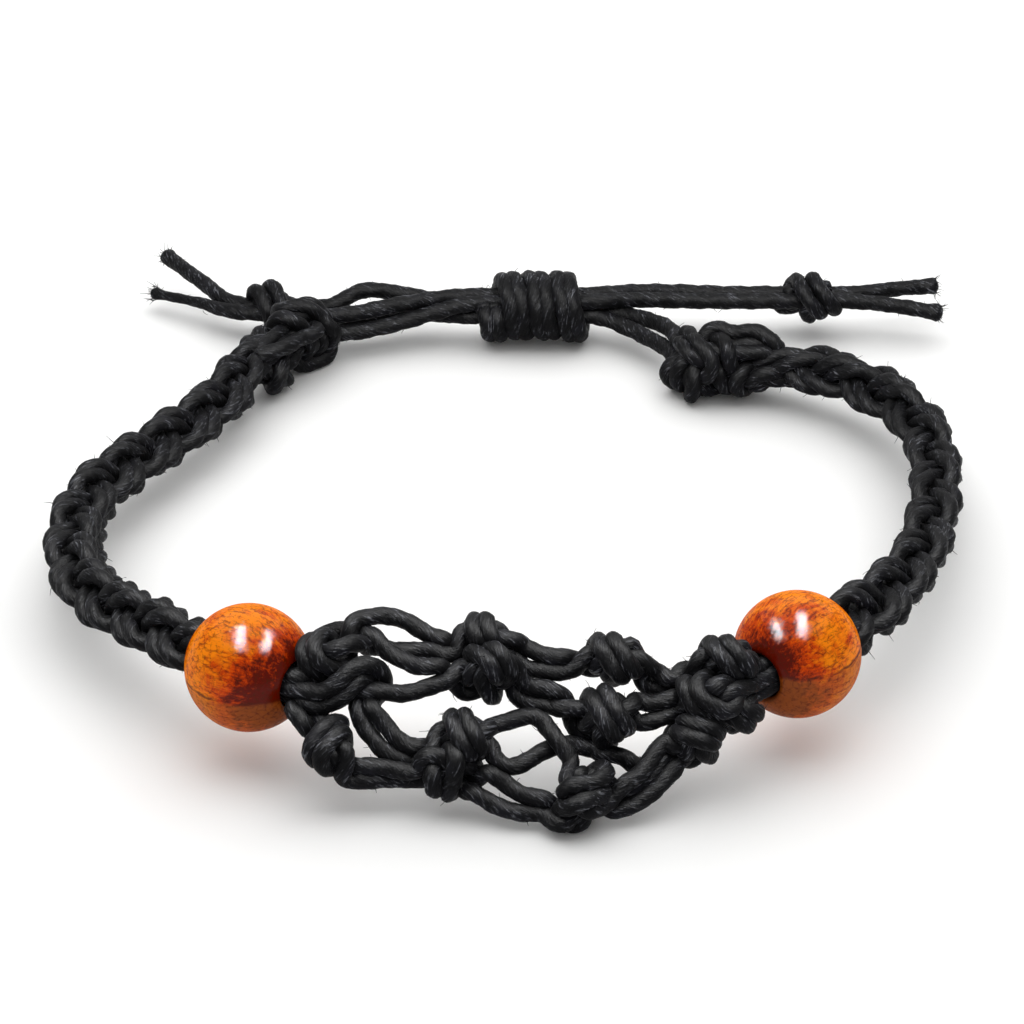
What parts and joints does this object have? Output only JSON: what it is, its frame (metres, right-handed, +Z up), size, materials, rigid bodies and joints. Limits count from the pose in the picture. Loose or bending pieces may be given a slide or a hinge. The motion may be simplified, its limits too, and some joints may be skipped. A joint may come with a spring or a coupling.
{
  "type": "cord bracelet",
  "caption": "Knotted cord bracelet with wooden beads either side of an open macrame net, round braided sides and a sliding knot closure.",
  "frame": {"origin": "middle of the underside of the bracelet's box, measured without its four drawcords and the two knots on their free ends; it lies on the surface z = 0", "axes": "+Z up from the surface it lies on, +Y from the net at the front to the sliding knot at the back, +X to the right as the net is seen"},
  "size_m": [0.0692, 0.0767, 0.0112],
  "materials": {
    "waxed_cord": "black waxed cotton cord, three plies, dull with small waxy glints",
    "stained_wood": "orange-brown stained wood under clear gloss lacquer"
  },
  "bodies": {
    "root": {"bead_left": "stained_wood", "bead_right": "stained_wood", "braid_left_strand_1": "waxed_cord", "braid_left_strand_2": "waxed_cord", "braid_left_strand_3": "waxed_cord", "braid_left_strand_4": "waxed_cord", "braid_right_strand_1": "waxed_cord", "braid_right_strand_2": "waxed_cord", "braid_right_strand_3": "waxed_cord", "braid_right_strand_4": "waxed_cord", "end_knot_left": "waxed_cord", "end_knot_right": "waxed_cord", "sliding_knot": "waxed_cord", "tail_knot_left": "waxed_cord", "tail_knot_right": "waxed_cord", "drawcord_left_1": "waxed_cord", "drawcord_left_2": "waxed_cord", "drawcord_right_1": "waxed_cord", "drawcord_right_2": "waxed_cord", "gather_knot_left_top": "waxed_cord", "gather_knot_left_middle": "waxed_cord", "gather_knot_left_low": "waxed_cord", "gather_knot_right_top": "waxed_cord", "gather_knot_right_middle": "waxed_cord", "gather_knot_right_side": "waxed_cord", "gather_knot_right_low": "waxed_cord", "net_knot_1": "waxed_cord", "net_knot_2": "waxed_cord", "net_knot_3": "waxed_cord", "net_knot_4": "waxed_cord", "net_knot_5": "waxed_cord", "net_knot_6": "waxed_cord", "net_knot_7": "waxed_cord", "net_cord_01": "waxed_cord", "net_cord_02": "waxed_cord", "net_cord_03": "waxed_cord", "net_cord_04": "waxed_cord", "net_cord_05": "waxed_cord", "net_cord_06": "waxed_cord", "net_cord_07": "waxed_cord", "net_cord_08": "waxed_cord", "net_cord_09": "waxed_cord", "net_cord_10": "waxed_cord", "net_cord_11": "waxed_cord", "net_cord_12": "waxed_cord", "net_cord_13": "waxed_cord", "net_cord_14": "waxed_cord", "net_cord_15": "waxed_cord", "net_cord_16": "waxed_cord", "net_cord_17": "waxed_cord", "net_cord_18": "waxed_cord", "net_cord_19": "waxed_cord", "net_cord_20": "waxed_cord"}
  },
  "joints": []
}
